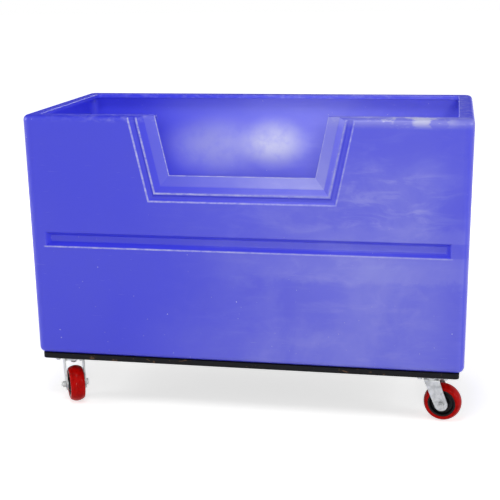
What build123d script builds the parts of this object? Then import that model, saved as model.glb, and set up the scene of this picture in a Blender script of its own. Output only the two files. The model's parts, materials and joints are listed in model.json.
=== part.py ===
from build123d import *
import math
import os

# Hopper front cart: a moulded tub on a plywood base with four swivel casters.
# Millimetres, +Z up. The origin is on the floor under the middle of the tub,
# the tub's length runs along X and its hopper mouth faces -Y.

# Tub
tub_length = 1473.0
tub_width = 711.0
tub_height = 832.0
wall = 6.0
draft_run = 6.0
corner_radius = 26.0
floor_radius = 20.0
rim_radius = 18.0
rim_width = 50.0
rim_lip_depth = 14.0
mouth_corner_radius = 16.0
mouth_edge_radius = 3.5

# Hopper notch in the front wall, with its stepped frame
notch_drop = 282.0
notch_bottom_width = 622.0
notch_side_angle = 12.0
notch_valley_depth = 7.5
notch_valley_start = 9.0
notch_valley_end = 18.0
notch_ridge_start = 25.5
notch_ridge_end = 31.0
notch_ridge_depth = 0.8
notch_lip_start = 50.0
notch_lip_start_depth = 14.0
notch_lip_end = 86.0
notch_lip_end_depth = 22.0
notch_edge_radius = 4.0
notch_lip_radius = 2.5

# Stiffening grooves in the walls
groove_height = 50.0
groove_drop = 395.0
groove_depth = 20.0
groove_end_gap = 60.0
groove_taper = 35.0
groove_edge_radius = 4.0

# Plywood base
base_thickness = 19.0
base_end_inset = 15.0
base_side_inset = 3.0
base_corner_radius = 14.0
base_edge_radius = 3.0

# Wheels
wheel_diameter = 127.0
tyre_width = 50.8
tyre_crown_radius = 40.0
tyre_shoulder_radius = 7.0
tyre_side_rise = 3.0
core_diameter = 92.0
core_rim_width = 47.0
core_rim_thickness = 6.0
core_dish_slope = 4.0
core_web_thickness = 24.0
core_edge_radius = 2.0
hub_diameter = 43.0
hub_length = 57.0
bond_gap = 0.05

# Wheel bearing and axle
axle_diameter = 12.7
axle_end_length = 5.0
axle_head_across_flats = 19.0
axle_head_height = 8.0
axle_nut_height = 11.0
bushing_diameter = 19.0
bearing_diameter = 31.0
bearing_shell_thickness = 1.2
bearing_length = 50.0
bearing_cage_thickness = 2.0
bearing_cage_ring_length = 3.0
roller_count = 12
roller_gap = 0.15
thrust_washer_diameter = 38.0
thrust_washer_thickness = 1.6
hub_end_clearance = 0.3
running_clearance = 0.06
slip_clearance = 0.1

# Swivel forks
swivel_lead = 35.0
fork_thickness = 5.0
fork_headroom = 19.5
fork_top_width = 50.0
fork_foot_radius = 22.0
fork_bend_radius = 9.0
crown_diameter = 69.0

# Swivel bearings and kingpin
ball_diameter = 7.9
ball_ring_diameter = 54.0
ball_count = 16
race_gap = 4.25
race_boss_diameter = 68.0
race_boss_height = 3.0
lower_ball_diameter = 5.0
lower_ball_ring_diameter = 28.0
lower_ball_count = 12
lower_race_gap = 2.6
lower_race_diameter = 38.0
lower_race_thickness = 4.0
race_clearance = 0.3
kingpin_diameter = 12.7
kingpin_head_diameter = 22.0
kingpin_head_angle = 90.0
kingpin_end_length = 2.0
kingpin_nut_across_flats = 19.0
kingpin_nut_height = 8.0

# Caster top plates and the lag screws that hold them
plate_length = 114.3
plate_width = 101.6
plate_thickness = 6.35
plate_corner_radius = 10.0
slot_wide_length = 92.1
slot_wide_width = 66.7
slot_square = 76.2
slot_opening = 10.5
screw_diameter = 9.5
screw_bite = 15.0
screw_hole_depth = 16.0
screw_tip = 3.0
screw_head_across_flats = 14.3
screw_head_height = 6.4
screw_washer_diameter = 20.6
screw_washer_thickness = 2.0
caster_end_margin = 28.4
caster_side_margin = 16.9

# Screws that hold the tub's floor down on the base
floor_screw_diameter = 3.5
floor_screw_bite = 13.0
floor_screw_hole_depth = 14.0
floor_screw_head_diameter = 8.0
floor_screw_head_height = 2.8
floor_screw_tip = 1.2
floor_washer_diameter = 22.0
floor_washer_thickness = 1.2
floor_screw_columns = 4
floor_screw_rows = 3
floor_screw_pitch_x = 340.0
floor_screw_pitch_y = 220.0

# Threads, nuts and heads
thread_clearance = 0.05
nut_chamfer = 0.8
thread_chamfer = 1.0

# How far each caster is turned about its kingpin, in degrees from +X
swivel_angles = {
    "front_left": -62.0,
    "front_right": -9.0,
    "rear_left": 171.0,
    "rear_right": 118.0,
}

# Heights, from the floor up
axle_height = wheel_diameter / 2
crown_bottom = wheel_diameter + fork_headroom
crown_top = crown_bottom + fork_thickness
race_boss_bottom = crown_top + race_gap
plate_bottom = race_boss_bottom + race_boss_height
plate_top = plate_bottom + plate_thickness
base_top = plate_top + base_thickness
floor_top = base_top + wall
rim_top = base_top + tub_height
lower_race_top = crown_bottom - lower_race_gap
lower_race_bottom = lower_race_top - lower_race_thickness
ball_height = crown_top + race_gap / 2
lower_ball_height = crown_bottom - lower_race_gap / 2
kingpin_end = lower_race_bottom - kingpin_nut_height - kingpin_end_length
kingpin_head_overhang = (kingpin_head_diameter - kingpin_diameter) / 2
kingpin_head_height = kingpin_head_overhang / math.tan(math.radians(kingpin_head_angle / 2))
screw_seat = plate_bottom - screw_washer_thickness
screw_end = plate_top + screw_bite
floor_screw_seat = floor_top + floor_washer_thickness
floor_screw_end = base_top - floor_screw_bite
floor_screw_dome = floor_screw_head_diameter**2 / (8 * floor_screw_head_height) + floor_screw_head_height / 2

# Widths across the wheel, out from its middle
leg_inner = hub_length / 2 + hub_end_clearance + thrust_washer_thickness
leg_outer = leg_inner + fork_thickness
fork_reach = swivel_lead + fork_foot_radius + fork_top_width
bearing_shell_radius = bearing_diameter / 2 - thread_clearance - bearing_shell_thickness
roller_radius = (bearing_shell_radius - bushing_diameter / 2) / 2 - running_clearance
roller_ring_radius = (bearing_shell_radius + bushing_diameter / 2) / 2
roller_length = bearing_length - 2 * bearing_cage_ring_length
tyre_crown_drop = tyre_crown_radius - math.sqrt(tyre_crown_radius**2 - tyre_width**2 / 4)

# Places of the casters: their plates lie within the edges of the base
draft_angle = math.degrees(math.atan2(draft_run, tub_height))
floor_length = tub_length - 2 * draft_run
floor_width = tub_width - 2 * draft_run
mouth_length = tub_length - 2 * rim_width
mouth_width = tub_width - 2 * rim_width
screw_spacing_x = (slot_wide_length + slot_square) / 2
screw_spacing_y = (slot_wide_width + slot_square) / 2
slot_travel = math.hypot(slot_wide_length - slot_square, slot_wide_width - slot_square) / 2
slot_angle = math.degrees(math.atan2(slot_wide_width - slot_square, slot_wide_length - slot_square))
base_length = floor_length - 2 * base_end_inset
base_width = floor_width - 2 * base_side_inset
caster_x = base_length / 2 - caster_end_margin - plate_length / 2
caster_y = base_width / 2 - caster_side_margin - plate_width / 2
caster_places = {
    "front_left": (-caster_x, -caster_y),
    "front_right": (caster_x, -caster_y),
    "rear_left": (-caster_x, caster_y),
    "rear_right": (caster_x, caster_y),
}
screw_places = [
    (x + side_x * screw_spacing_x / 2, y + side_y * screw_spacing_y / 2)
    for x, y in caster_places.values()
    for side_x in (-1, 1)
    for side_y in (-1, 1)
]

floor_screw_places = GridLocations(
    floor_screw_pitch_x, floor_screw_pitch_y, floor_screw_columns, floor_screw_rows
).local_locations

# Planes on the four leaning outer walls: origin on the rim, local Y up the wall, Z outwards
lean = math.radians(draft_angle)
front_wall = Plane((0, -tub_width / 2, rim_top), (1, 0, 0), (0, -math.cos(lean), -math.sin(lean)))
back_wall = Plane((0, tub_width / 2, rim_top), (-1, 0, 0), (0, math.cos(lean), -math.sin(lean)))
left_wall = Plane((-tub_length / 2, 0, rim_top), (0, -1, 0), (-math.cos(lean), 0, -math.sin(lean)))
right_wall = Plane((tub_length / 2, 0, rim_top), (0, 1, 0), (math.cos(lean), 0, -math.sin(lean)))
groove_lengths = [
    (front_wall, tub_length - 2 * groove_end_gap),
    (back_wall, tub_length - 2 * groove_end_gap),
    (left_wall, tub_width - 2 * groove_end_gap),
    (right_wall, tub_width - 2 * groove_end_gap),
]

# The notch outline runs past the rim by this much so that its cuts come out of the top
cut_margin = 30.0
skin = 0.3


def notch_corners(inset):
    """Corners of the notch outline, moved in from its outer edge, as points on the front wall."""
    slope = math.tan(math.radians(notch_side_angle))
    bottom_half = notch_bottom_width / 2 + inset * (slope - 1 / math.cos(math.radians(notch_side_angle)))
    bottom = inset - notch_drop
    top_half = bottom_half + (cut_margin - bottom) * slope
    return [(-top_half, cut_margin), (-bottom_half, bottom), (bottom_half, bottom), (top_half, cut_margin)]


def notch_section_plane(path):
    """Plane across the start of the notch outline: X towards the opening, Y out of the wall."""
    along = path % 0
    return Plane(path @ 0, front_wall.z_dir.cross(along), along)


def on_wall_edges(part, wall_plane, depth):
    """Edges of the newest cut that lie this deep in a wall."""
    def lies_there(edge):
        ends = [wall_plane.to_local_coords(vertex.center()) for vertex in edge.vertices()]
        return all(abs(end.Z + depth) < skin for end in ends)

    return [edge for edge in part.edges(Select.LAST) if lies_there(edge)]


def on_mouth(edge):
    """Whether an edge of the rim runs round the mouth."""
    middle = edge.center()
    return abs(middle.X) < mouth_length / 2 + skin and abs(middle.Y) < mouth_width / 2 + skin


def axle_plane(across):
    """Plane square to the axle, this far across the wheel from its middle."""
    return Plane((swivel_lead, across, axle_height), (1, 0, 0), (0, 1, 0))


def hex_nut(seat, across_flats, height, thread_diameter):
    """A chamfered hexagon nut that stands on the given plane."""
    with BuildPart() as nut:
        with BuildSketch(seat):
            RegularPolygon(across_flats / 2, 6, major_radius=False)
        extrude(amount=height)
        ends = nut.faces().sort_by(Axis(seat.origin, seat.z_dir))
        chamfer(ends[0].edges() + ends[-1].edges(), nut_chamfer)
        with BuildSketch(seat):
            Circle(thread_diameter / 2 + thread_clearance)
        extrude(amount=height, mode=Mode.SUBTRACT)
    return nut.part


def on_core_dish(edge):
    """Whether a circle of the wheel core is a corner of its dished sides."""
    return hub_diameter / 2 < edge.radius + skin and edge.radius < core_diameter / 2 - skin


# The wheel turns about this axis; its sections have X along the axle and Y out along a radius
axle_axis = Axis((swivel_lead, 0, axle_height), (0, 1, 0))
wheel_section = Plane((swivel_lead, 0, axle_height), (0, 1, 0), (1, 0, 0))

# The hollow of the tub, with the wall's thickness left behind the grooves, frame and rim lip
with BuildPart() as hollow:
    with BuildSketch(Plane.XY.offset(floor_top)):
        RectangleRounded(floor_length - 2 * wall, floor_width - 2 * wall, corner_radius - wall)
    extrude(amount=tub_height - 2 * wall, taper=-draft_angle)
    fillet(hollow.faces().sort_by(Axis.Z)[0].edges(), floor_radius - wall)
    fillet(hollow.faces().sort_by(Axis.Z)[-1].edges(), rim_radius - wall)
    with BuildSketch(Plane.XY.offset(rim_top - rim_lip_depth)):
        RectangleRounded(mouth_length + 2 * wall, mouth_width + 2 * wall, mouth_corner_radius + wall)
        RectangleRounded(mouth_length, mouth_width, mouth_corner_radius, mode=Mode.SUBTRACT)
    extrude(amount=rim_lip_depth, mode=Mode.SUBTRACT)
    for wall_plane, length in groove_lengths:
        with BuildSketch(wall_plane):
            with Locations((0, -groove_drop - groove_height / 2)):
                Rectangle(length + 2 * wall, groove_height + 2 * wall)
        extrude(amount=-groove_depth - wall, taper=groove_taper, mode=Mode.SUBTRACT)
    with BuildLine(front_wall) as behind_path:
        Polyline(*notch_corners(0))
    with BuildSketch(notch_section_plane(behind_path.line)):
        with BuildLine():
            Polyline(
                (-wall, 0),
                (-wall, -wall),
                (notch_valley_start - wall / 2, -notch_valley_depth - wall),
                (notch_ridge_end, -notch_valley_depth - wall),
                (notch_lip_start - wall / 2, -notch_lip_start_depth - wall),
                (notch_lip_end + wall, -notch_lip_end_depth - wall),
                (notch_lip_end + wall, 0),
                close=True,
            )
        make_face()
    sweep(transition=Transition.RIGHT, mode=Mode.SUBTRACT)

# Tub: one moulding, cut open at the mouth and the hopper notch
with BuildPart() as tub:
    with BuildSketch(Plane.XY.offset(base_top)):
        RectangleRounded(floor_length, floor_width, corner_radius)
    extrude(amount=tub_height, taper=-draft_angle)
    fillet(tub.faces().sort_by(Axis.Z)[0].edges(), floor_radius)
    fillet(tub.faces().sort_by(Axis.Z)[-1].edges(), rim_radius)
    for wall_plane, length in groove_lengths:
        with BuildSketch(wall_plane):
            with Locations((0, -groove_drop - groove_height / 2)):
                Rectangle(length, groove_height)
        extrude(amount=-groove_depth, taper=groove_taper, mode=Mode.SUBTRACT)
        groove_edges = on_wall_edges(tub, wall_plane, 0) + on_wall_edges(tub, wall_plane, groove_depth)
        fillet(groove_edges, groove_edge_radius)
    with BuildLine(front_wall) as notch_path:
        Polyline(*notch_corners(0))
    with BuildSketch(notch_section_plane(notch_path.line)):
        with BuildLine() as frame_surface:
            FilletPolyline(
                (-cut_margin / 2, skin),
                (0, skin),
                (notch_valley_start, -notch_valley_depth),
                (notch_valley_end, -notch_valley_depth),
                (notch_ridge_start, -notch_ridge_depth),
                (notch_ridge_end, -notch_ridge_depth),
                (notch_lip_start, -notch_lip_start_depth),
                (notch_lip_end, -notch_lip_end_depth),
                (notch_lip_end, -notch_lip_end_depth - wall),
                radius=[notch_edge_radius] * 6 + [notch_lip_radius],
            )
            Polyline(
                (notch_lip_end, -notch_lip_end_depth - wall),
                (notch_lip_end + wall, -notch_lip_end_depth - wall),
                (notch_lip_end + wall, cut_margin),
                (-cut_margin / 2, cut_margin),
                (-cut_margin / 2, skin),
            )
        make_face()
    sweep(transition=Transition.RIGHT, mode=Mode.SUBTRACT)
    with BuildSketch(front_wall.offset(cut_margin)):
        Polygon(*notch_corners(notch_lip_end), align=None)
    extrude(amount=-cut_margin - rim_width - 2 * wall, mode=Mode.SUBTRACT)
    with BuildSketch(Plane.XY.offset(rim_top)):
        RectangleRounded(mouth_length, mouth_width, mouth_corner_radius)
    extrude(amount=-2 * rim_lip_depth, mode=Mode.SUBTRACT)
    fillet(tub.edges(Select.LAST).group_by(Axis.Z)[-1].filter_by(on_mouth), mouth_edge_radius)
    add(hollow.part, mode=Mode.SUBTRACT)
    with Locations((0, 0, floor_top)):
        with Locations(*floor_screw_places):
            Hole(floor_screw_diameter / 2 + slip_clearance, depth=2 * wall)

# Base: a plywood board under the tub
with BuildPart() as base:
    with BuildSketch(Plane.XY.offset(plate_top)):
        RectangleRounded(base_length, base_width, base_corner_radius)
    extrude(amount=base_thickness)
    fillet(base.faces().sort_by(Axis.Z)[0].edges(), base_edge_radius)
    with BuildSketch(Plane.XY.offset(plate_top)):
        with Locations(*screw_places):
            Circle(screw_diameter / 2 + thread_clearance)
    extrude(amount=screw_hole_depth, mode=Mode.SUBTRACT)
    with BuildSketch(Plane.XY.offset(base_top)):
        with Locations(*floor_screw_places):
            Circle(floor_screw_diameter / 2 + thread_clearance)
    extrude(amount=-floor_screw_hole_depth, mode=Mode.SUBTRACT)

# One caster screw: a hexagon head under its washer, the thread up through the plate into the base
with BuildPart() as screw:
    with BuildSketch(Plane.XY.offset(screw_seat)):
        RegularPolygon(screw_head_across_flats / 2, 6, major_radius=False)
    extrude(amount=-screw_head_height)
    chamfer(screw.faces().sort_by(Axis.Z)[0].edges(), nut_chamfer)
    with BuildSketch(Plane.XY.offset(screw_seat)):
        Circle(screw_diameter / 2)
    extrude(amount=screw_end - screw_seat)
    chamfer(screw.faces().sort_by(Axis.Z)[-1].edges(), screw_tip)

with BuildPart() as caster_screws:
    with Locations(*screw_places):
        add(screw.part)

with BuildPart() as caster_washers:
    with BuildSketch(Plane.XY.offset(screw_seat)):
        with Locations(*screw_places):
            Circle(screw_washer_diameter / 2)
            Circle(screw_diameter / 2 + slip_clearance, mode=Mode.SUBTRACT)
    extrude(amount=screw_washer_thickness)

# One floor screw: a low round head on its washer inside the tub, the thread down into the base
with BuildPart() as floor_screw:
    with BuildSketch(Plane.XZ):
        with BuildLine():
            head_edge = (floor_screw_head_diameter / 2, floor_screw_seat)
            head_top = (0, floor_screw_seat + floor_screw_head_height)
            RadiusArc(head_edge, head_top, -floor_screw_dome)
            Polyline(
                head_top,
                (0, floor_screw_end),
                (floor_screw_diameter / 2, floor_screw_end),
                (floor_screw_diameter / 2, floor_screw_seat),
                head_edge,
            )
        make_face()
    revolve(axis=Axis.Z)
    chamfer(floor_screw.faces().sort_by(Axis.Z)[0].edges(), floor_screw_tip)

with BuildPart() as floor_screws:
    with Locations(*floor_screw_places):
        add(floor_screw.part)

with BuildPart() as floor_washers:
    with BuildSketch(Plane.XY.offset(floor_top)):
        with Locations(*floor_screw_places):
            Circle(floor_washer_diameter / 2)
            Circle(floor_screw_diameter / 2 + slip_clearance, mode=Mode.SUBTRACT)
    extrude(amount=floor_washer_thickness)

# Caster pieces are drawn with the kingpin on Z and the wheel trailing along +X
# Top plate: slotted for two screw patterns, with the upper ball race under it
with BuildPart() as top_plate:
    with BuildSketch(Plane.XY.offset(plate_bottom)):
        RectangleRounded(plate_length, plate_width, plate_corner_radius)
        for side_x in (-1, 1):
            for side_y in (-1, 1):
                turn = side_x * side_y * slot_angle
                with Locations((side_x * screw_spacing_x / 2, side_y * screw_spacing_y / 2)):
                    SlotCenterToCenter(slot_travel, slot_opening, turn, mode=Mode.SUBTRACT)
    extrude(amount=plate_thickness)
    with BuildSketch(Plane.XY.offset(race_boss_bottom)):
        Circle(race_boss_diameter / 2)
    extrude(amount=race_boss_height)
    with Locations((0, 0, ball_height)):
        Torus(ball_ring_diameter / 2, ball_diameter / 2 + race_clearance, mode=Mode.SUBTRACT)
    with Locations((0, 0, plate_top)):
        CounterSinkHole(
            kingpin_diameter / 2 + slip_clearance,
            kingpin_head_diameter / 2 + slip_clearance,
            counter_sink_angle=kingpin_head_angle,
        )

# Kingpin: flush head in the plate, nut under the lower race
with BuildPart() as kingpin:
    with Locations((0, 0, plate_top)):
        Cone(
            kingpin_diameter / 2,
            kingpin_head_diameter / 2,
            kingpin_head_height,
            align=(Align.CENTER, Align.CENTER, Align.MAX),
        )
        Cylinder(
            kingpin_diameter / 2,
            plate_top - kingpin_end,
            align=(Align.CENTER, Align.CENTER, Align.MAX),
        )
    chamfer(kingpin.edges().filter_by(GeomType.CIRCLE).sort_by(Axis.Z)[0], thread_chamfer)

kingpin_nut = hex_nut(
    Plane.XY.offset(lower_race_bottom - kingpin_nut_height),
    kingpin_nut_across_flats,
    kingpin_nut_height,
    kingpin_diameter,
)

# Lower race: a ring on the kingpin that carries the lower balls
with BuildPart() as lower_race:
    with BuildSketch(Plane.XY.offset(lower_race_bottom)):
        Circle(lower_race_diameter / 2)
        Circle(kingpin_diameter / 2 + slip_clearance, mode=Mode.SUBTRACT)
    extrude(amount=lower_race_thickness)
    with Locations((0, 0, lower_ball_height)):
        Torus(lower_ball_ring_diameter / 2, lower_ball_diameter / 2 + race_clearance, mode=Mode.SUBTRACT)

# Swivel balls: one ring above the fork's crown and one below it
with BuildPart() as swivel_balls:
    with Locations((0, 0, ball_height)):
        with PolarLocations(ball_ring_diameter / 2, ball_count):
            Sphere(ball_diameter / 2)
    with Locations((0, 0, lower_ball_height)):
        with PolarLocations(lower_ball_ring_diameter / 2, lower_ball_count):
            Sphere(lower_ball_diameter / 2)

# Fork: a bent channel with tapering legs, and a round crown with a ball race on each side
with BuildPart() as fork:
    with BuildSketch(Plane.XZ):
        with Locations((swivel_lead, axle_height)):
            Circle(fork_foot_radius)
        with Locations((0, crown_top - fork_thickness / 2)):
            Rectangle(fork_top_width, fork_thickness)
        make_hull()
    extrude(amount=leg_outer, both=True)
    with BuildSketch(Plane.YZ) as channel:
        with Locations((0, crown_top)):
            Rectangle(2 * leg_outer, crown_top, align=(Align.CENTER, Align.MAX))
        fillet(channel.vertices().group_by(Axis.Y)[-1], fork_bend_radius)
        with Locations((0, crown_bottom)):
            RectangleRounded(
                2 * leg_inner,
                2 * crown_bottom,
                fork_bend_radius - fork_thickness,
                align=(Align.CENTER, Align.MAX),
                mode=Mode.SUBTRACT,
            )
    extrude(amount=fork_reach, both=True, mode=Mode.INTERSECT)
    with BuildSketch(Plane.XY.offset(crown_bottom)):
        Circle(crown_diameter / 2)
    extrude(amount=fork_thickness)
    with Locations((0, 0, crown_top)):
        Hole(kingpin_diameter / 2 + running_clearance, depth=fork_thickness)
    with BuildSketch(axle_plane(0)):
        Circle(axle_diameter / 2 + slip_clearance)
    extrude(amount=leg_outer, both=True, mode=Mode.SUBTRACT)
    with Locations((0, 0, ball_height)):
        Torus(ball_ring_diameter / 2, ball_diameter / 2 + race_clearance, mode=Mode.SUBTRACT)
    with Locations((0, 0, lower_ball_height)):
        Torus(lower_ball_ring_diameter / 2, lower_ball_diameter / 2 + race_clearance, mode=Mode.SUBTRACT)

# Axle: a bolt across the legs, its nut, and the bushing that the legs clamp
with BuildPart() as axle_bolt:
    with BuildSketch(axle_plane(leg_outer)):
        RegularPolygon(axle_head_across_flats / 2, 6, major_radius=False)
    extrude(amount=axle_head_height)
    chamfer(axle_bolt.faces().sort_by(Axis.Y)[-1].edges(), nut_chamfer)
    with BuildSketch(axle_plane(leg_outer)):
        Circle(axle_diameter / 2)
    extrude(amount=-2 * leg_outer - axle_nut_height - axle_end_length)
    chamfer(axle_bolt.faces().sort_by(Axis.Y)[0].edges(), thread_chamfer)

axle_nut_seat = axle_plane(-leg_outer - axle_nut_height)
axle_nut = hex_nut(axle_nut_seat, axle_head_across_flats, axle_nut_height, axle_diameter)

with BuildPart() as axle_bushing:
    with BuildSketch(axle_plane(0)):
        Circle(bushing_diameter / 2)
        Circle(axle_diameter / 2 + slip_clearance, mode=Mode.SUBTRACT)
    extrude(amount=leg_inner, both=True)

with BuildPart() as thrust_washers:
    for start in (-leg_inner, leg_inner - thrust_washer_thickness):
        with BuildSketch(axle_plane(start)):
            Circle(thrust_washer_diameter / 2)
            Circle(bushing_diameter / 2 + slip_clearance, mode=Mode.SUBTRACT)
        extrude(amount=thrust_washer_thickness)

# Roller bearing: a cage of rollers in a thin shell, pressed into the hub
with BuildPart() as roller_bearing:
    with BuildSketch(axle_plane(0)):
        Circle(roller_ring_radius + bearing_cage_thickness / 2)
        Circle(roller_ring_radius - bearing_cage_thickness / 2, mode=Mode.SUBTRACT)
    extrude(amount=bearing_length / 2, both=True)
    with BuildSketch(axle_plane(0)):
        with PolarLocations(roller_ring_radius, roller_count):
            Circle(roller_radius + roller_gap)
    extrude(amount=roller_length / 2 + roller_gap, both=True, mode=Mode.SUBTRACT)
    with BuildSketch(axle_plane(0)):
        with PolarLocations(roller_ring_radius, roller_count):
            Circle(roller_radius)
    extrude(amount=roller_length / 2, both=True)
    with BuildSketch(axle_plane(0)):
        Circle(bearing_diameter / 2 - thread_clearance)
        Circle(bearing_shell_radius, mode=Mode.SUBTRACT)
    extrude(amount=bearing_length / 2, both=True)

# Wheel core: a hub and a rim joined by a dished web
with BuildPart() as wheel_core:
    with BuildSketch(wheel_section):
        with BuildLine():
            one_side = [
                (hub_length / 2, bearing_diameter / 2),
                (hub_length / 2, hub_diameter / 2),
                (core_web_thickness / 2, hub_diameter / 2 + core_dish_slope),
                (core_web_thickness / 2, core_diameter / 2 - core_rim_thickness - core_dish_slope),
                (core_rim_width / 2, core_diameter / 2 - core_rim_thickness),
                (core_rim_width / 2, core_diameter / 2),
            ]
            Polyline(*one_side, *[(-along, radius) for along, radius in reversed(one_side)], close=True)
        make_face()
    revolve(axis=axle_axis)
    fillet(wheel_core.edges().filter_by(GeomType.CIRCLE).filter_by(on_core_dish), core_edge_radius)

# Tyre: a thick moulded tread round the core
with BuildPart() as tyre:
    with BuildSketch(wheel_section) as tread:
        with BuildLine():
            one_side = [
                (core_rim_width / 2, core_diameter / 2 + bond_gap),
                (tyre_width / 2, core_diameter / 2 + tyre_side_rise),
                (tyre_width / 2, wheel_diameter / 2 - tyre_crown_drop),
            ]
            other_side = [(-along, radius) for along, radius in one_side]
            Polyline(*reversed(other_side), *one_side)
            ThreePointArc(one_side[-1], (0, wheel_diameter / 2), other_side[-1])
        make_face()
        fillet(tread.vertices().group_by(Axis.Y)[-1], tyre_shoulder_radius)
    revolve(axis=axle_axis)

os.makedirs("parts", exist_ok=True)

tub.part.label = "tub"
export_step(tub.part, "parts/tub.step")
base.part.label = "base"
export_step(base.part, "parts/base.step")
caster_screws.part.label = "caster_screws"
export_step(caster_screws.part, "parts/caster_screws.step")
caster_washers.part.label = "caster_washers"
export_step(caster_washers.part, "parts/caster_washers.step")
floor_screws.part.label = "floor_screws"
export_step(floor_screws.part, "parts/floor_screws.step")
floor_washers.part.label = "floor_washers"
export_step(floor_washers.part, "parts/floor_washers.step")

fixed_pieces = {
    "top_plate": top_plate.part,
    "kingpin": kingpin.part,
    "kingpin_nut": kingpin_nut,
    "lower_race": lower_race.part,
}
swivel_pieces = {
    "swivel_balls": swivel_balls.part,
    "fork": fork.part,
    "axle_bolt": axle_bolt.part,
    "axle_nut": axle_nut,
    "axle_bushing": axle_bushing.part,
    "thrust_washers": thrust_washers.part,
    "wheel_core": wheel_core.part,
    "roller_bearing": roller_bearing.part,
    "tyre": tyre.part,
}
for corner, (x, y) in caster_places.items():
    places = [
        (fixed_pieces, Location((x, y, 0))),
        (swivel_pieces, Location((x, y, 0), (0, 0, swivel_angles[corner]))),
    ]
    for pieces, place in places:
        for name, piece in pieces.items():
            placed = place * piece
            placed.label = f"{corner}_{name}"
            export_step(placed, f"parts/{placed.label}.step")
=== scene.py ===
"""Looks of the hopper front cart: camera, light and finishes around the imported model, in metres."""

import json
import math

import bpy
from mathutils import Matrix, Vector


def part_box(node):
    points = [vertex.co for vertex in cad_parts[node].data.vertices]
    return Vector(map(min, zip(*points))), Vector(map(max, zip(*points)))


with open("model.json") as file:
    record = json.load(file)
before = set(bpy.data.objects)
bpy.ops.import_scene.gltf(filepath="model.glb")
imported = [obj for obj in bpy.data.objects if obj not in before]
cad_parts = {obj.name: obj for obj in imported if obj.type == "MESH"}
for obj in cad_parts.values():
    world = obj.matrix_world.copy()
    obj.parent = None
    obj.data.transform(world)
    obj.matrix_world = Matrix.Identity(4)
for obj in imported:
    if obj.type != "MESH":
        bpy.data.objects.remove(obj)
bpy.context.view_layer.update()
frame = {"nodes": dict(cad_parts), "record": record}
nodes = frame["nodes"]
scene = bpy.context.scene

# Camera, as fitted to the edges of the tub in the photograph
IMAGE_WIDTH = 500
FOCAL_PIXELS = 1061.5
SENSOR_WIDTH = 36.0
CAMERA_PLACE = Vector((0.6672, -3.6560, 1.4465))
CAMERA_YAW = -0.1907
CAMERA_PITCH = 0.2517
CAMERA_ROLL = 0.0152

# Colours, linear
TUB_BLUE = (0.060, 0.066, 0.87)
# On the tub the haze colour also paints sheen, and the worn colour also paints highlights
TUB_HAZE_AND_SHEEN = (0.40, 0.41, 0.98)
TUB_WEAR_AND_HIGHLIGHT = (0.86, 0.87, 1.0)
PAINT_BLACK = (0.014, 0.014, 0.016)
PAINT_DUSTY = (0.028, 0.027, 0.028)
PLY_BROWN = (0.16, 0.075, 0.035)
PLY_PALE = (0.30, 0.17, 0.09)
ZINC = (0.55, 0.56, 0.56)
ZINC_DULL = (0.37, 0.38, 0.39)
STEEL = (0.62, 0.62, 0.63)
TYRE_RED = (0.62, 0.003, 0.002)
TYRE_DARK = (0.34, 0.003, 0.002)
CORE_BLACK = (0.006, 0.006, 0.007)
CORE_DUSTY = (0.025, 0.025, 0.027)
FLOOR_WHITE = (0.90, 0.90, 0.90)
WHITE = (1.0, 1.0, 1.0)

# Sizes of the tub that its wear follows: the hopper notch, its frame, the grooves and the lean of the walls
TUB_LOW, TUB_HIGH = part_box("tub")
RIM_TOP = TUB_HIGH.z
NOTCH_DROP = 0.282
NOTCH_HALF_BOTTOM = 0.311
NOTCH_ANGLE = math.radians(12.0)
RIDGE_INSET = 0.028
LIP_START = 0.050
LIP_INSET = 0.085
GROOVE_TOP = RIM_TOP - 0.395
GROOVE_BOTTOM = GROOVE_TOP - 0.050
GROOVE_END = TUB_HIGH.x - 0.060
WALL_DRAFT = 0.006
WALL_SLOPE = WALL_DRAFT / (TUB_HIGH.z - TUB_LOW.z)

# Haze and painted sheen on all the walls: stretches of X and Z over which they fade, and their strengths; the
# painted sheen makes the walls paler towards the right
RIGHT_IN_X = (-0.45, 0.40)
RIGHT_OUT_X = (0.56, 0.72)
RIGHT_OUT_Z = (0.80, 0.95)
RIGHT_AT_END = 0.40
RIGHT_AT_TOP = 0.45
UNDER_GROOVE_X = (-0.25, 0.30)
UNDER_GROOVE_Z = (GROOVE_BOTTOM - 0.100, GROOVE_BOTTOM - 0.075)
UNDER_GROOVE_EDGE = (GROOVE_BOTTOM, GROOVE_BOTTOM + 0.004)
OVER_GROOVE_X = (0.05, 0.35)
OVER_GROOVE_Z = (GROOVE_TOP + 0.030, GROOVE_TOP + 0.070)
OVER_GROOVE_EDGE = (GROOVE_TOP - 0.002, GROOVE_TOP + 0.002)
LOW_RIGHT_X = (0.05, 0.40)
LOW_RIGHT_Z = (0.52, 0.60)
BOTTOM_X = (-0.50, -0.05)
BOTTOM_Z = (0.25, 0.40)
SCUFF_MIDDLE_X = 0.49
SCUFF_MIDDLE_Z = 0.75
SCUFF_HALF_WIDTH = 0.24
SCUFF_HALF_HEIGHT = 0.17
RAGGED_REACH = 0.05
HAZE_LEAST = 0.01
PAINTED_SHEEN_RIGHT = 0.23
HAZE_CLOUDS = 0.20
HAZE_SMEARS = 0.15
HAZE_SCUFFS = 0.24
HAZE_LOW = 0.10
HAZE_GROOVE = 0.14

# Haze and painted sheen on the notch's lip, by X, and what the sunk faces of grooves and frame lose of their
# haze, by depth, as painted shade
LIP_EDGE = (LIP_START - 0.002, LIP_START + 0.002)
LIP_BACK_Y = (TUB_LOW.y + 0.024, TUB_LOW.y + 0.030)
LIP_X = (-0.40, 0.40)
LIP_HAZE_AND_SHEEN = (0.08, 0.44)
SUNK_FROM = (0.002, 0.005)
SUNK_TO = (0.012, 0.015)
SUNK_PAINTED_SHADE = 0.60
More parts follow.
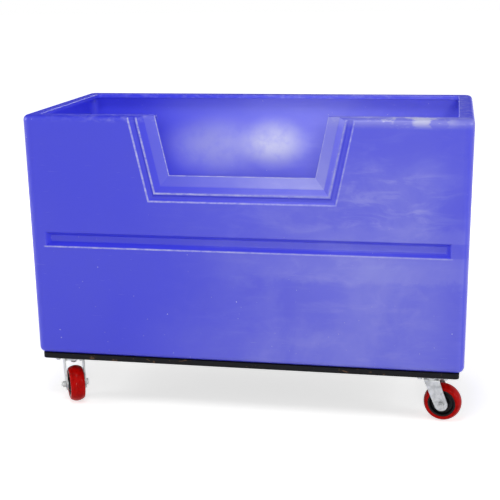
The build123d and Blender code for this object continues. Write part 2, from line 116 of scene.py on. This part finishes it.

# The inner back wall, by its depth behind the outer face, and its haze and painted sheen
BACK_DEPTH_FROM = (0.003, 0.005)
BACK_DEPTH_TO = (0.030, 0.060)
BACK_MIDDLE_X = (0.15, 0.50)
BACK_HAZE_AND_SHEEN_X = (-0.62, -0.30)
BACK_HAZE_AND_SHEEN_Z = (0.60, 0.72)
BACK_RIM_Z = (RIM_TOP - 0.020, RIM_TOP - 0.010)
HAZE_BACK = 0.08
HAZE_AND_SHEEN_BEHIND_NOTCH = 0.20
HAZE_AND_SHEEN_BACK_MIDDLE = 0.10

# Painted highlights on the inner back wall, as two pale patches: middle X, middle Z, half width and half
# height
BRIGHT_HIGHLIGHT_OVAL = (0.0, 0.825, 0.16, 0.12)
FAINT_HIGHLIGHT_OVAL = (-0.23, 0.81, 0.26, 0.14)
BRIGHT_HIGHLIGHT_STRENGTH = 0.95
FAINT_HIGHLIGHT_STRENGTH = 0.47
PATCH_HEART = 0.10
PATCH_MOTTLE = (0.72, 1.0)

# Wear on the rim, painted highlights on its front right corner, and wear and painted highlights along the
# raised edges
RIM_Z = (RIM_TOP - 0.026, RIM_TOP - 0.010)
RIM_X = (-0.72, -0.40)
RIM_WEAR = (0.05, 0.20)
CORNER_Z = (RIM_TOP - 0.036, RIM_TOP - 0.008)
CORNER_Y = (TUB_LOW.y + 0.020, TUB_LOW.y + 0.070)
CORNER_BEHIND = 0.12
CORNER_MIDDLE_X = 0.53
CORNER_HALF_WIDTH = 0.22
CORNER_GLINT = 0.70
CORNER_EVEN_X = (0.22, 0.40)
CORNER_EVEN_WEAR_AND_SHEEN = 0.20
EDGE_FRONT_Y = (TUB_LOW.y + 0.004, TUB_LOW.y + 0.008)
EDGE_LIP_Y = (TUB_LOW.y + 0.024, TUB_LOW.y + 0.028)
EDGE_FRAME_INSET = 0.001
EDGE_FRAME_WIDTH = 0.004
EDGE_RIDGE_WIDTH = 0.005
EDGE_LIP_WIDTH = 0.002
EDGE_GROOVE_WIDTH = 0.004
EDGE_GROOVE_X = (GROOVE_END, GROOVE_END + 0.01)
EDGE_WEAR_AND_HIGHLIGHT = (0.14, 0.46)
EDGE_X = (-0.35, 0.35)
EDGE_HIGHLIGHT_LEFT = 1.5
EDGE_HIGHLIGHT_RIGHT = 0.75
SCRATCH_WEAR = 0.12
SPECK_WEAR = 0.6

# Gloss of the tub, by how far a face looks up: flat tops are dull, upright walls shine
UPWARD = (0.40, 0.92)
WALL_ROUGHNESS = (0.28, 0.40)
TOP_ROUGHER = 0.35
WALL_SPECULAR = 0.36
TOP_SPECULAR = 0.02
WALL_COAT = 0.30
COAT_ROUGHNESS = 0.17
TUB_IOR = 1.51

# Bump heights of the tub: how far its walls wave, and how far the inner back wall leans back behind the notch
WALL_WAVE = 0.010
BACK_BELLY = 0.016
BACK_BELLY_Z = (0.74, 1.00)
PEEL_HEIGHT = 0.0004
PEEL_STRENGTH = 0.25

# How far in from the edges of the base its paint is chipped, and how much wood and dust show
CHIP_REACH = 0.012
CHIP_EDGE = 0.001
CHIP_WOOD = 0.8
PAINT_DUST = 0.35
CORE_DUST = 0.5

# The floor glows this much near the cart, so that its shadow stays soft, and shows plain white further out
FLOOR_GLOW = 0.65
SHADOW_NEAR = 1.0
SHADOW_FAR = 2.4

# Half the side of the floor, and the strength of the even fill light
FLOOR_HALF = 40.0
WORLD_FILL = 0.17

# Share of a narrow band that keeps its full strength
BAND_HEART = 0.25

# Sockets of the mix node that carry colours
MIX_FIRST = 6
MIX_SECOND = 7
MIX_RESULT = 2


def socket_of(tree, target, value):
    """Links a node's output to a socket, or sets the socket's own value."""
    if isinstance(value, bpy.types.NodeSocket):
        tree.links.new(value, target)
    else:
        target.default_value = value


def add_node(tree, kind, **inputs):
    """A shader node with its inputs set by name, with _ for a space."""
    node = tree.nodes.new(kind)
    for name, value in inputs.items():
        socket_of(tree, node.inputs[name.replace("_", " ")], value)
    return node


def coordinates(tree):
    """A point's place on the model."""
    return tree.nodes.new("ShaderNodeTexCoord").outputs["Object"]


def split(tree, vector):
    """The X, Y and Z of a vector."""
    return add_node(tree, "ShaderNodeSeparateXYZ", Vector=vector).outputs


def stretched(tree, vector, scale, turn=(0, 0, 0)):
    """A place that is scaled along each axis and turned, for drawn-out noise."""
    node = add_node(tree, "ShaderNodeMapping", Vector=vector, Scale=scale, Rotation=turn)
    return node.outputs["Vector"]


def noise(tree, vector, scale, detail=3.0, roughness=0.55, distortion=0.0):
    """Soft noise from about zero to one."""
    node = add_node(
        tree,
        "ShaderNodeTexNoise",
        Vector=vector,
        Scale=scale,
        Detail=detail,
        Roughness=roughness,
        Distortion=distortion,
    )
    return node.outputs["Fac"]


def ramp(tree, value, low, high, to_low=0.0, to_high=1.0):
    """Maps the stretch from low to high smoothly onto another stretch, and holds the ends."""
    node = tree.nodes.new("ShaderNodeMapRange")
    node.interpolation_type = "SMOOTHSTEP"
    for name, number in (("From Min", low), ("From Max", high), ("To Min", to_low), ("To Max", to_high)):
        node.inputs[name].default_value = number
    tree.links.new(value, node.inputs["Value"])
    return node.outputs["Result"]


def fade_out(tree, value, stretch, least=0.0):
    """One before a stretch, falling smoothly over it to the least."""
    return ramp(tree, value, *stretch, 1.0, least)


def math_node(tree, operation, *values, clamp=False):
    """One step of arithmetic."""
    node = tree.nodes.new("ShaderNodeMath")
    node.operation = operation
    node.use_clamp = clamp
    for place, value in enumerate(values):
        socket_of(tree, node.inputs[place], value)
    return node.outputs["Value"]


def total(tree, operation, first, *others):
    """One operation carried on over several values."""
    for other in others:
        first = math_node(tree, operation, first, other)
    return first


def product(tree, *values):
    """The product of masks and strengths."""
    return total(tree, "MULTIPLY", *values)


def size_of(tree, value):
    """A value without its sign."""
    return math_node(tree, "ABSOLUTE", value)


def band(tree, value, middle, half_width):
    """One at the middle of a narrow stretch, falling to zero at its ends."""
    off = size_of(tree, math_node(tree, "SUBTRACT", value, middle))
    return fade_out(tree, off, (BAND_HEART * half_width, half_width))


def mix_colour(tree, factor, first, second):
    """A colour between two, each a tuple or a node's output."""
    node = tree.nodes.new("ShaderNodeMix")
    node.data_type = "RGBA"
    socket_of(tree, node.inputs["Factor"], factor)
    for place, colour in ((MIX_FIRST, first), (MIX_SECOND, second)):
        socket_of(tree, node.inputs[place], (*colour, 1.0) if isinstance(colour, tuple) else colour)
    return node.outputs[MIX_RESULT]


def bump(tree, height, distance, strength=1.0, normal=None):
    """A surface normal that is tilted as if the height stood on the surface."""
    node = add_node(tree, "ShaderNodeBump", Height=height, Distance=distance, Strength=strength)
    if normal is not None:
        tree.links.new(normal, node.inputs["Normal"])
    return node.outputs["Normal"]


def new_material(name):
    """A material with its node tree and its shader."""
    material = bpy.data.materials.new(name)
    material.use_nodes = True
    return material, material.node_tree, material.node_tree.nodes["Principled BSDF"]


def notch_inset(tree, axis):
    """How far a point of the front wall lies inside the outline of the hopper notch."""
    rise = math_node(tree, "SUBTRACT", axis["Z"], RIM_TOP - NOTCH_DROP)
    half = math_node(tree, "MULTIPLY_ADD", rise, math.tan(NOTCH_ANGLE), NOTCH_HALF_BOTTOM)
    side = math_node(tree, "SUBTRACT", half, size_of(tree, axis["X"]))
    side = math_node(tree, "MULTIPLY", side, math.cos(NOTCH_ANGLE))
    return math_node(tree, "MINIMUM", rise, side)


def wall_haze_and_sheen(tree, place, axis):
    """Cloudy haze on all the walls, beside the groove and near the bottom, with a painted sheen that makes
    them paler towards the right.
    """
    # Painted sheen: the walls grow paler towards the right, as where light falls from there, fading at the
    # right end and the top; clouds and smears follow it
    right = product(
        tree,
        ramp(tree, axis["X"], *RIGHT_IN_X),
        fade_out(tree, axis["X"], RIGHT_OUT_X, RIGHT_AT_END),
        fade_out(tree, axis["Z"], RIGHT_OUT_Z, RIGHT_AT_TOP),
    )
    cloud = noise(tree, place, scale=4.0, detail=5.0, roughness=0.62, distortion=0.5)
    cloud = ramp(tree, cloud, 0.40, 0.72)
    streaks = stretched(tree, place, (3.0, 3.0, 11.0), (0.0, 0.35, 0.0))
    smear = noise(tree, streaks, scale=2.2, detail=6.0, roughness=0.62, distortion=0.8)
    smear = ramp(tree, smear, 0.46, 0.74)
    scuffed = product(
        tree,
        band(tree, axis["X"], SCUFF_MIDDLE_X, SCUFF_HALF_WIDTH),
        band(tree, axis["Z"], SCUFF_MIDDLE_Z, SCUFF_HALF_HEIGHT),
    )
    return total(
        tree,
        "ADD",
        math_node(tree, "MULTIPLY_ADD", right, PAINTED_SHEEN_RIGHT, HAZE_LEAST),
        product(tree, cloud, right, HAZE_CLOUDS),
        product(tree, smear, right, HAZE_SMEARS),
        product(tree, smear, scuffed, HAZE_SCUFFS),
        ragged_haze(tree, place, axis),
    )


def ragged_haze(tree, place, axis):
    """Haze with a ragged outline: under and over the groove, at the low right and along the bottom."""
    ragged = noise(tree, place, scale=14.0, detail=6.0, roughness=0.65, distortion=0.3)
    ragged = math_node(tree, "MULTIPLY_ADD", ragged, 2 * RAGGED_REACH, -RAGGED_REACH)
    ragged_z = math_node(tree, "ADD", axis["Z"], ragged)
    under = product(
        tree,
        ramp(tree, ragged_z, *UNDER_GROOVE_Z),
        fade_out(tree, axis["Z"], UNDER_GROOVE_EDGE),
        ramp(tree, axis["X"], *UNDER_GROOVE_X),
    )
    over = product(
        tree,
        fade_out(tree, ragged_z, OVER_GROOVE_Z),
        ramp(tree, axis["Z"], *OVER_GROOVE_EDGE),
        ramp(tree, axis["X"], *OVER_GROOVE_X),
    )
    low_right = product(tree, ramp(tree, axis["X"], *LOW_RIGHT_X), fade_out(tree, axis["Z"], LOW_RIGHT_Z))
    bottom = product(tree, ramp(tree, axis["X"], *BOTTOM_X), fade_out(tree, ragged_z, BOTTOM_Z))
    return total(
        tree,
        "ADD",
        product(tree, math_node(tree, "MAXIMUM", low_right, bottom), HAZE_LOW),
        product(tree, under, HAZE_GROOVE),
        product(tree, over, HAZE_GROOVE),
    )


def back_wall(tree, axis):
    """One on the inner back wall, and on what else lies as deep behind the leaning outer face."""
    below_rim = math_node(tree, "SUBTRACT", RIM_TOP, axis["Z"])
    outer_face = math_node(tree, "MULTIPLY_ADD", below_rim, -WALL_SLOPE, TUB_HIGH.y)
    depth = math_node(tree, "SUBTRACT", outer_face, axis["Y"])
    return product(tree, ramp(tree, depth, *BACK_DEPTH_FROM), fade_out(tree, depth, BACK_DEPTH_TO))


def back_haze_and_sheen(tree, axis, back, middle):
    """Haze on the inner back wall, with more haze and a painted sheen behind the notch, as of the glow around
    a highlight.
    """
    # Painted sheen: paler from the middle to the right of the inner back wall behind the notch, below the rim
    haze_and_sheen_area = product(
        tree,
        back,
        ramp(tree, axis["X"], *BACK_HAZE_AND_SHEEN_X),
        ramp(tree, axis["Z"], *BACK_HAZE_AND_SHEEN_Z),
        fade_out(tree, axis["Z"], BACK_RIM_Z),
    )
    return total(
        tree,
        "ADD",
        product(tree, back, HAZE_BACK),
        product(tree, haze_and_sheen_area, HAZE_AND_SHEEN_BEHIND_NOTCH),
        product(tree, middle, haze_and_sheen_area, HAZE_AND_SHEEN_BACK_MIDDLE),
    )


def lip_haze_and_sheen(tree, axis, inset):
    """Haze and painted sheen on the sloped lip of the notch, paler to the right like the painted sheen on the
    walls.
    """
    return product(
        tree,
        ramp(tree, inset, *LIP_EDGE),
        fade_out(tree, axis["Y"], LIP_BACK_Y),
        ramp(tree, axis["X"], *LIP_X, *LIP_HAZE_AND_SHEEN),
    )


def sunk_faces(tree, axis):
    """One on faces a little behind the leaning front wall, such as the groove and the notch frame, where
    shade is painted.
    """
    below_rim = math_node(tree, "SUBTRACT", RIM_TOP, axis["Z"])
    outer_face = math_node(tree, "MULTIPLY_ADD", below_rim, WALL_SLOPE, TUB_LOW.y)
    depth = math_node(tree, "SUBTRACT", axis["Y"], outer_face)
    return product(tree, ramp(tree, depth, *SUNK_FROM), fade_out(tree, depth, SUNK_TO))


def tub_edges(tree, axis, inset):
    """The raised edges that rub and where highlights are painted: the steps of the notch frame, its lip and
    the front groove's lower edge.
    """
    front = fade_out(tree, axis["Y"], EDGE_FRONT_Y)
    steps = math_node(
        tree,
        "MAXIMUM",
        band(tree, inset, EDGE_FRAME_INSET, EDGE_FRAME_WIDTH),
        band(tree, inset, RIDGE_INSET, EDGE_RIDGE_WIDTH),
    )
    lip = product(tree, band(tree, inset, LIP_INSET, EDGE_LIP_WIDTH), fade_out(tree, axis["Y"], EDGE_LIP_Y))
    groove = product(
        tree,
        band(tree, axis["Z"], GROOVE_BOTTOM, EDGE_GROOVE_WIDTH),
        fade_out(tree, size_of(tree, axis["X"]), EDGE_GROOVE_X),
        front,
    )
    return total(tree, "MAXIMUM", product(tree, steps, front), lip, groove)


def edge_wear_and_highlights(tree, place, axis, inset):
    """Pale chafing along the rim, and pale lines along the raised edges that are partly wear and partly
    painted highlight, stronger on the edges to the left.
    """
    chafe = stretched(tree, place, (1.0, 1.0, 2.0))
    chafe = noise(tree, chafe, scale=34.0, detail=5.0, roughness=0.65)
    rim = product(
        tree,
        ramp(tree, axis["Z"], *RIM_Z),
        ramp(tree, chafe, 0.40, 0.80),
        ramp(tree, axis["X"], *RIM_X, *RIM_WEAR),
    )
    # Wear and painted highlight: pale lines on the raised edges, brighter on the left where the light catches
    # them
    edge_lines = product(
        tree,
        tub_edges(tree, axis, inset),
        ramp(tree, chafe, 0.30, 0.70, *EDGE_WEAR_AND_HIGHLIGHT),
        ramp(tree, axis["X"], *EDGE_X, EDGE_HIGHLIGHT_LEFT, EDGE_HIGHLIGHT_RIGHT),
    )
    return math_node(tree, "MAXIMUM", rim, edge_lines)


def corner_highlights(tree, place, axis):
    """Painted highlights along the front right edge of the rim: bright glints in patches, over an even pale
    part that is partly wear and partly painted sheen.
    """
    patch = stretched(tree, place, (1.0, 1.0, 2.5))
    patch = ramp(tree, noise(tree, patch, scale=16.0, detail=4.0, roughness=0.6), 0.38, 0.60)
    glint = product(tree, band(tree, axis["X"], CORNER_MIDDLE_X, CORNER_HALF_WIDTH), patch, CORNER_GLINT)
    even = ramp(tree, axis["X"], *CORNER_EVEN_X, 0.0, CORNER_EVEN_WEAR_AND_SHEEN)
    return product(
        tree,
        math_node(tree, "MAXIMUM", glint, even),
        ramp(tree, axis["Z"], *CORNER_Z),
        fade_out(tree, axis["Y"], CORNER_Y, CORNER_BEHIND),
    )


def soft_oval(tree, axis, middle_x, middle_z, half_width, half_height):
    """One at the heart of a soft oval on an upright wall, falling to zero at its outline."""
    across = math_node(tree, "DIVIDE", math_node(tree, "SUBTRACT", axis["X"], middle_x), half_width)
    up = math_node(tree, "DIVIDE", math_node(tree, "SUBTRACT", axis["Z"], middle_z), half_height)
    away = math_node(tree, "ADD", product(tree, across, across), product(tree, up, up))
    return fade_out(tree, math_node(tree, "SQRT", away), (PATCH_HEART, 1.0))


def painted_highlight_patches(tree, place, axis, back):
    """A bright and a faint painted highlight on the inner back wall, as pale mottled patches."""
    # Painted highlight: pale ovals where the wall would reflect a lamp
    bright = product(tree, soft_oval(tree, axis, *BRIGHT_HIGHLIGHT_OVAL), BRIGHT_HIGHLIGHT_STRENGTH)
    faint = product(tree, soft_oval(tree, axis, *FAINT_HIGHLIGHT_OVAL), FAINT_HIGHLIGHT_STRENGTH)
    mottle = ramp(tree, noise(tree, place, scale=22.0, detail=4.0), 0.25, 0.60, *PATCH_MOTTLE)
    return product(tree, math_node(tree, "ADD", faint, bright), back, mottle)


def fine_wear(tree, place):
    """Thin scratches and scattered specks."""
    scratch = stretched(tree, place, (6.0, 6.0, 140.0), (0.3, 0.5, 0.2))
    scratch = noise(tree, scratch, scale=3.0, detail=3.0, roughness=0.5, distortion=0.2)
    speck = noise(tree, place, scale=130.0, detail=1.0, roughness=0.4)
    return math_node(
        tree,
        "MAXIMUM",
        product(tree, ramp(tree, scratch, 0.70, 0.78), SCRATCH_WEAR),
        product(tree, ramp(tree, speck, 0.80, 0.83), SPECK_WEAR),
    )


def tub_colour(tree, place, axis, back, middle):
    """Blue, paled by haze and painted sheen, then by wear and painted highlights; sunk faces keep less haze,
    as painted shade.
    """
    inset = notch_inset(tree, axis)
    haze_and_sheen = total(
        tree,
        "ADD",
        wall_haze_and_sheen(tree, place, axis),
        back_haze_and_sheen(tree, axis, back, middle),
        lip_haze_and_sheen(tree, axis, inset),
    )
    # Painted shade: the sunk faces of the groove and the notch frame lose haze and stay darker
    share_outside_painted_shade = math_node(tree, "MULTIPLY_ADD", sunk_faces(tree, axis), -SUNK_PAINTED_SHADE, 1.0)
    haze_and_sheen = math_node(tree, "MULTIPLY", haze_and_sheen, share_outside_painted_shade, clamp=True)
    wear_and_highlights = total(
        tree,
        "MAXIMUM",
        fine_wear(tree, place),
        edge_wear_and_highlights(tree, place, axis, inset),
        corner_highlights(tree, place, axis),
        painted_highlight_patches(tree, place, axis, back),
    )
    blue_with_haze_and_sheen = mix_colour(tree, haze_and_sheen, TUB_BLUE, TUB_HAZE_AND_SHEEN)
    return mix_colour(tree, wear_and_highlights, blue_with_haze_and_sheen, TUB_WEAR_AND_HIGHLIGHT)


def tub_gloss(tree, place, shader):
    """Satin upright walls and dull flat tops."""
    normal = tree.nodes.new("ShaderNodeNewGeometry").outputs["Normal"]
    upward = split(tree, normal)["Z"]
    wall = ramp(tree, noise(tree, place, scale=5.0, detail=4.0), 0.30, 0.75, *WALL_ROUGHNESS)
    rough = math_node(tree, "ADD", wall, ramp(tree, upward, *UPWARD, 0.0, TOP_ROUGHER))
    tree.links.new(rough, shader.inputs["Roughness"])
    specular = ramp(tree, upward, *UPWARD, WALL_SPECULAR, TOP_SPECULAR)
    tree.links.new(specular, shader.inputs["Specular IOR Level"])
    tree.links.new(ramp(tree, upward, *UPWARD, WALL_COAT, 0.0), shader.inputs["Coat Weight"])
    shader.inputs["Coat Roughness"].default_value = COAT_ROUGHNESS
    shader.inputs["IOR"].default_value = TUB_IOR


def tub_waves(tree, place, axis, middle):
    """Broad waves in the walls, the lean of the inner back wall and a fine peel."""
    belly = product(tree, middle, ramp(tree, axis["Z"], *BACK_BELLY_Z, 0.0, -BACK_BELLY))
    swell = noise(tree, place, scale=2.6, detail=1.5, roughness=0.4)
    wave = math_node(tree, "MULTIPLY_ADD", swell, WALL_WAVE, belly)
    peel = noise(tree, place, scale=260.0, detail=2.0)
    return bump(tree, peel, PEEL_HEIGHT, PEEL_STRENGTH, bump(tree, wave, distance=1.0))


def tub_plastic():
    """Blue moulded polyethylene: wavy walls, cloudy haze with painted sheen, scuffs, worn edges and painted
    highlights.
    """
    material, tree, shader = new_material("tub_plastic")
    place = coordinates(tree)
    axis = split(tree, place)
    back = back_wall(tree, axis)
    middle = product(tree, back, fade_out(tree, size_of(tree, axis["X"]), BACK_MIDDLE_X))
    tree.links.new(tub_colour(tree, place, axis, back, middle), shader.inputs["Base Color"])
    tub_gloss(tree, place, shader)
    tree.links.new(tub_waves(tree, place, axis, middle), shader.inputs["Normal"])
    return material


def black_plywood():
    """Black paint over plywood, chipped to brown wood along its edges."""
    material, tree, shader = new_material("black_plywood")
    place = coordinates(tree)
    _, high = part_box("base")
    axis = split(tree, place)
    edge_x = ramp(tree, size_of(tree, axis["X"]), high.x - CHIP_REACH, high.x - CHIP_EDGE)
    edge_y = ramp(tree, size_of(tree, axis["Y"]), high.y - CHIP_REACH, high.y - CHIP_EDGE)
    edge = math_node(tree, "MAXIMUM", edge_x, edge_y)
    chip = stretched(tree, place, (1.0, 1.0, 1.8))
    chip = noise(tree, chip, scale=42.0, detail=5.0, roughness=0.7, distortion=0.5)
    chip = product(tree, ramp(tree, chip, 0.62, 0.68), edge, CHIP_WOOD)
    ply = noise(tree, stretched(tree, place, (3.0, 3.0, 300.0)), scale=1.0, detail=2.0)
    wood = mix_colour(tree, ramp(tree, ply, 0.35, 0.65), PLY_BROWN, PLY_PALE)
    dust = ramp(tree, noise(tree, place, scale=20.0, detail=5.0, roughness=0.6), 0.45, 0.8)
    paint = mix_colour(tree, product(tree, dust, PAINT_DUST), PAINT_BLACK, PAINT_DUSTY)
    tree.links.new(mix_colour(tree, chip, paint, wood), shader.inputs["Base Color"])
    tree.links.new(ramp(tree, dust, 0.0, 1.0, 0.42, 0.7), shader.inputs["Roughness"])
    shader.inputs["Specular IOR Level"].default_value = 0.08
    grain = noise(tree, stretched(tree, place, (4.0, 120.0, 120.0)), scale=1.5, detail=4.0)
    rough = bump(tree, grain, distance=0.0006, strength=0.4)
    sunk_chip = bump(tree, chip, distance=-0.0008, strength=0.6, normal=rough)
    tree.links.new(sunk_chip, shader.inputs["Normal"])
    return material


def zinc_steel():
    """Bright zinc plate on pressed steel, dulled in blotches."""
    material, tree, shader = new_material("zinc_steel")
    place = coordinates(tree)
    blotch = noise(tree, place, scale=60.0, detail=4.0, roughness=0.6, distortion=0.3)
    blotch = ramp(tree, blotch, 0.35, 0.7)
    tree.links.new(mix_colour(tree, blotch, ZINC, ZINC_DULL), shader.inputs["Base Color"])
    shader.inputs["Metallic"].default_value = 0.9
    tree.links.new(ramp(tree, blotch, 0.0, 1.0, 0.28, 0.5), shader.inputs["Roughness"])
    spangle = noise(tree, place, scale=500.0, detail=3.0)
    tree.links.new(bump(tree, spangle, distance=0.0002, strength=0.3), shader.inputs["Normal"])
    return material


def bearing_steel():
    """Ground steel with fine marks."""
    material, tree, shader = new_material("bearing_steel")
    place = coordinates(tree)
    marks = noise(tree, stretched(tree, place, (30.0, 30.0, 900.0)), scale=1.0, detail=2.0)
    tree.links.new(mix_colour(tree, marks, STEEL, ZINC), shader.inputs["Base Color"])
    shader.inputs["Metallic"].default_value = 1.0
    tree.links.new(ramp(tree, marks, 0.3, 0.7, 0.16, 0.3), shader.inputs["Roughness"])
    return material


def red_polyurethane():
    """Smooth cast polyurethane, darkened in dirty blotches."""
    material, tree, shader = new_material("red_polyurethane")
    place = coordinates(tree)
    dirt = ramp(tree, noise(tree, place, scale=45.0, detail=5.0, roughness=0.65), 0.4, 0.75)
    tree.links.new(mix_colour(tree, dirt, TYRE_RED, TYRE_DARK), shader.inputs["Base Color"])
    tree.links.new(ramp(tree, dirt, 0.0, 1.0, 0.06, 0.18), shader.inputs["Roughness"])
    shader.inputs["Specular IOR Level"].default_value = 0.05
    grain = noise(tree, place, scale=180.0, detail=3.0)
    tree.links.new(bump(tree, grain, distance=0.0005, strength=0.25), shader.inputs["Normal"])
    shader.inputs["IOR"].default_value = 1.5
    return material


def black_core():
    """Black moulded wheel core with a little dust."""
    material, tree, shader = new_material("black_core")
    place = coordinates(tree)
    dust = ramp(tree, noise(tree, place, scale=70.0, detail=4.0, roughness=0.6), 0.45, 0.8)
    dust = product(tree, dust, CORE_DUST)
    tree.links.new(mix_colour(tree, dust, CORE_BLACK, CORE_DUSTY), shader.inputs["Base Color"])
    tree.links.new(ramp(tree, dust, 0.0, CORE_DUST, 0.34, 0.55), shader.inputs["Roughness"])
    shader.inputs["Specular IOR Level"].default_value = 0.15
    grain = noise(tree, place, scale=600.0, detail=2.0)
    tree.links.new(bump(tree, grain, distance=0.0002, strength=0.3), shader.inputs["Normal"])
    return material


def dress_cad_nodes():
    """Gives every CAD node the material that its slot in the record names."""
    makers = (tub_plastic, black_plywood, zinc_steel, bearing_steel, red_polyurethane, black_core)
    finishes = {maker.__name__: maker() for maker in makers}
    for part in frame["record"]["subparts"]:
        mesh = nodes[part["node"]].data
        mesh.materials.clear()
        mesh.materials.append(finishes[part["material_slot"]])


def add_camera():
    """A level camera turned by yaw, tipped down by pitch and rolled a little, with no shift."""
    forward = Vector((
        math.sin(CAMERA_YAW) * math.cos(CAMERA_PITCH),
        math.cos(CAMERA_YAW) * math.cos(CAMERA_PITCH),
        -math.sin(CAMERA_PITCH),
    ))
    level = Vector((math.cos(CAMERA_YAW), -math.sin(CAMERA_YAW), 0))
    below = forward.cross(level)
    right = math.cos(CAMERA_ROLL) * level + math.sin(CAMERA_ROLL) * below
    down = math.cos(CAMERA_ROLL) * below - math.sin(CAMERA_ROLL) * level
    lens = bpy.data.cameras.new("camera")
    lens.sensor_width = SENSOR_WIDTH
    lens.lens = FOCAL_PIXELS / IMAGE_WIDTH * SENSOR_WIDTH
    camera = bpy.data.objects.new("camera", lens)
    scene.collection.objects.link(camera)
    turn = Matrix((right, -down, -forward)).transposed().to_4x4()
    camera.matrix_world = Matrix.Translation(CAMERA_PLACE) @ turn
    scene.camera = camera


def hang_lamp(light, place, aim, watts):
    """Puts a lamp, which the camera doesn't see, at a place and aims it at a point."""
    light.energy = watts
    lamp = bpy.data.objects.new(light.name, light)
    scene.collection.objects.link(lamp)
    lamp.location = place
    lamp.visible_camera = False
    lamp.rotation_euler = (Vector(aim) - Vector(place)).to_track_quat("-Z", "Y").to_euler()
    return lamp


def add_lamp(name, place, aim, size, watts):
    """A square soft lamp."""
    light = bpy.data.lights.new(name, "AREA")
    light.size = size
    return hang_lamp(light, place, aim, watts)


def add_spot(name, place, aim, radius, cone, watts):
    """A soft-edged beam."""
    light = bpy.data.lights.new(name, "SPOT")
    light.shadow_soft_size = radius
    light.spot_size = cone
    light.spot_blend = 0.6
    return hang_lamp(light, place, aim, watts)


def add_lamps():
    """Lamps in front, a beam at the notch, two weak lamps in the tub, and lamps for the other sides."""
    add_lamp("key", place=(1.53, -7.95, 2.25), aim=(0.05, 0.0, 0.6), size=0.8, watts=100.0)
    add_lamp("left_key", place=(-1.05, -8.1, 2.3), aim=(0.05, 0.0, 0.6), size=0.6, watts=20.0)
    add_lamp("high_front", place=(0.0, -1.6, 3.2), aim=(0.0, 0.2, 0.8), size=1.2, watts=24.0)
    add_spot(
        "notch_glow",
        place=(-0.20, -4.0, 1.09),
        aim=(-0.03, -0.355, 0.92),
        radius=0.20,
        cone=math.radians(5.5),
        watts=45.0,
    )
    for name, side in (("inner_left", -1), ("inner_right", 1)):
        place = (0.32 * side, -0.20, 0.58)
        aim = (0.66 * side, 0.35, 0.98)
        inner = add_lamp(name, place, aim, size=0.2, watts=0.72)
        inner.visible_glossy = False
    add_lamp("back_lamp", place=(-0.6, 4.2, 2.4), aim=(0.0, 0.0, 0.6), size=2.0, watts=55.0)
    add_lamp("left_lamp", place=(-4.2, -0.9, 1.8), aim=(0.0, 0.0, 0.7), size=2.0, watts=45.0)
    add_lamp("right_lamp", place=(4.2, -0.9, 1.8), aim=(0.0, 0.0, 0.7), size=2.0, watts=45.0)


def seen_rays(tree):
    """One for rays that show a surface as it looks: camera, mirror and glass rays."""
    path = tree.nodes.new("ShaderNodeLightPath").outputs
    return total(tree, "MAXIMUM", path["Is Camera Ray"], path["Is Glossy Ray"], path["Is Transmission Ray"])


def add_world():
    """An even fill that is seen as plain white."""
    world = bpy.data.worlds.new("studio")
    scene.world = world
    world.use_nodes = True
    tree = world.node_tree
    fill = tree.nodes["Background"]
    fill.inputs["Color"].default_value = (*WHITE, 1.0)
    glow = math_node(tree, "MAXIMUM", seen_rays(tree), WORLD_FILL)
    tree.links.new(glow, fill.inputs["Strength"])


def add_floor():
    """A pale floor that is seen as white, but for part of the cart's soft shadow."""
    mesh = bpy.data.meshes.new("floor")
    signs = ((-1, -1), (1, -1), (1, 1), (-1, 1))
    mesh.from_pydata([(x * FLOOR_HALF, y * FLOOR_HALF, 0) for x, y in signs], [], [(0, 1, 2, 3)])
    floor = bpy.data.objects.new("floor", mesh)
    scene.collection.objects.link(floor)
    material, tree, shader = new_material("floor")
    shader.inputs["Base Color"].default_value = (*FLOOR_WHITE, 1.0)
    shader.inputs["Roughness"].default_value = 0.9
    shader.inputs["Specular IOR Level"].default_value = 0.0
    away = add_node(tree, "ShaderNodeVectorMath", Vector=coordinates(tree))
    away.operation = "LENGTH"
    glow = ramp(tree, away.outputs["Value"], SHADOW_NEAR, SHADOW_FAR, FLOOR_GLOW, 1.0)
    glow = math_node(tree, "MULTIPLY", glow, seen_rays(tree))
    tree.links.new(glow, shader.inputs["Emission Strength"])
    shader.inputs["Emission Color"].default_value = (*WHITE, 1.0)
    mesh.materials.append(material)


scene.view_settings.view_transform = "Standard"
dress_cad_nodes()
add_camera()
add_world()
add_floor()
add_lamps()
